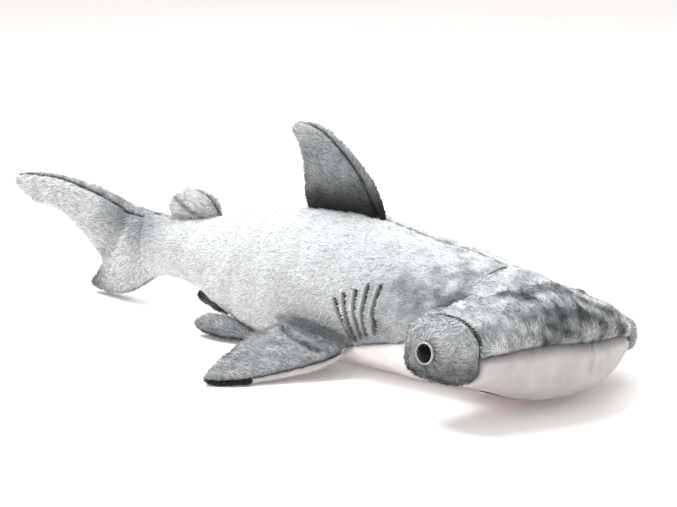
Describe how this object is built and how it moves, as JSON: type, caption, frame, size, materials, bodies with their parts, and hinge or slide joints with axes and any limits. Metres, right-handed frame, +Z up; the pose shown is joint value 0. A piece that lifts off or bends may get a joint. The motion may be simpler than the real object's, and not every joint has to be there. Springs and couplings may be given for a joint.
{
  "type": "plush hammerhead shark",
  "caption": "Soft plush hammerhead shark with a grey back, white belly, stitched gill slits, safety eyes at the ends of the hammer, and stuffed fins and tail that flex at their seams.",
  "frame": {"origin": "on the floor the toy lies on, under the middle of its length and width", "axes": "+X towards the snout, +Y to the toy's left, +Z up"},
  "size_m": [0.535, 0.237, 0.145],
  "materials": {
    "plush_light_grey": "short plush pile",
    "plush_grey": "short plush pile",
    "plush_dark_grey": "short plush pile",
    "plush_white": "short plush pile",
    "plush_black": "short plush pile",
    "felt_pink": "felt",
    "polyester_filling": "loose fibre",
    "eye_black": "gloss",
    "eye_grey": "gloss",
    "washer_plastic": "satin",
    "thread_dark": "matt"
  },
  "bodies": {
    "body": {"right_side_panel": "plush_light_grey", "left_side_panel": "plush_light_grey", "belly_panel": "plush_white", "body_stuffing": "polyester_filling", "head_top_panel": "plush_grey", "head_underside_panel": "plush_white", "head_stuffing": "polyester_filling", "right_eye_cap": "plush_dark_grey", "left_eye_cap": "plush_dark_grey", "mouth_lining": "felt_pink", "right_eye": "eye_black", "left_eye": "eye_black", "right_eye_ring": "eye_grey", "left_eye_ring": "eye_grey", "right_eye_washer": "washer_plastic", "left_eye_washer": "washer_plastic", "right_gill_thread_1": "thread_dark", "right_gill_thread_2": "thread_dark", "right_gill_thread_3": "thread_dark", "right_gill_thread_4": "thread_dark", "right_gill_thread_5": "thread_dark", "left_gill_thread_1": "thread_dark", "left_gill_thread_2": "thread_dark", "left_gill_thread_3": "thread_dark", "left_gill_thread_4": "thread_dark", "left_gill_thread_5": "thread_dark", "right_cap_stitching": "thread_dark", "left_cap_stitching": "thread_dark"},
    "tail": {"tail_right_panel": "plush_light_grey", "tail_left_panel": "plush_light_grey", "tail_stuffing": "polyester_filling"},
    "dorsal_fin": {"dorsal_fin_right_panel": "plush_grey", "dorsal_fin_left_panel": "plush_grey", "dorsal_fin_filling": "polyester_filling"},
    "second_dorsal_fin": {"second_dorsal_fin_right_panel": "plush_light_grey", "second_dorsal_fin_left_panel": "plush_light_grey", "second_dorsal_fin_filling": "polyester_filling"},
    "anal_fin": {"anal_fin_right_panel": "plush_dark_grey", "anal_fin_left_panel": "plush_dark_grey", "anal_fin_filling": "polyester_filling"},
    "right_pectoral": {"right_pectoral_top": "plush_grey", "right_pectoral_underside": "plush_white", "right_pectoral_black_tip": "plush_black", "right_pectoral_filling": "polyester_filling"},
    "right_pelvic": {"right_pelvic_top": "plush_grey", "right_pelvic_underside": "plush_dark_grey", "right_pelvic_filling": "polyester_filling"},
    "left_pectoral": {"left_pectoral_top": "plush_grey", "left_pectoral_underside": "plush_white", "left_pectoral_black_tip": "plush_black", "left_pectoral_filling": "polyester_filling"},
    "left_pelvic": {"left_pelvic_top": "plush_grey", "left_pelvic_underside": "plush_dark_grey", "left_pelvic_filling": "polyester_filling"}
  },
  "joints": [
    {"name": "tail_hinge", "type": "hinge", "parent": "body", "child": "tail", "pos_m": [-0.1125, 0, 0.041], "axis": [0, 0, 1], "range_deg": [-20, 20], "stiffness_Nm_per_rad": 0.15},
    {"name": "dorsal_fin_hinge", "type": "hinge", "parent": "body", "child": "dorsal_fin", "pos_m": [0.0715, 0, 0.0915], "axis": [1, 0, 0], "range_deg": [-20, 20], "stiffness_Nm_per_rad": 0.05},
    {"name": "second_dorsal_fin_hinge", "type": "hinge", "parent": "body", "child": "second_dorsal_fin", "pos_m": [-0.0675, 0, 0.068], "axis": [1, 0, 0], "range_deg": [-20, 20], "stiffness_Nm_per_rad": 0.02},
    {"name": "anal_fin_hinge", "type": "hinge", "parent": "body", "child": "anal_fin", "pos_m": [-0.0455, 0, 0.0162], "axis": [1, 0, 0], "range_deg": [-15, 15], "stiffness_Nm_per_rad": 0.01},
    {"name": "right_pectoral_hinge", "type": "hinge", "parent": "body", "child": "right_pectoral", "pos_m": [0.0835, -0.0425, 0.0212], "axis": [-1, 0, 0], "range_deg": [0, 35], "stiffness_Nm_per_rad": 0.04},
    {"name": "right_pelvic_hinge", "type": "hinge", "parent": "body", "child": "right_pelvic", "pos_m": [0.0095, -0.0235, 0.005], "axis": [-1, 0, 0], "range_deg": [0, 12], "stiffness_Nm_per_rad": 0.02},
    {"name": "left_pectoral_hinge", "type": "hinge", "parent": "body", "child": "left_pectoral", "pos_m": [0.0835, 0.0425, 0.0212], "axis": [1, 0, 0], "range_deg": [0, 35], "stiffness_Nm_per_rad": 0.04},
    {"name": "left_pelvic_hinge", "type": "hinge", "parent": "body", "child": "left_pelvic", "pos_m": [0.0095, 0.0235, 0.005], "axis": [1, 0, 0], "range_deg": [0, 12], "stiffness_Nm_per_rad": 0.02}
  ]
}
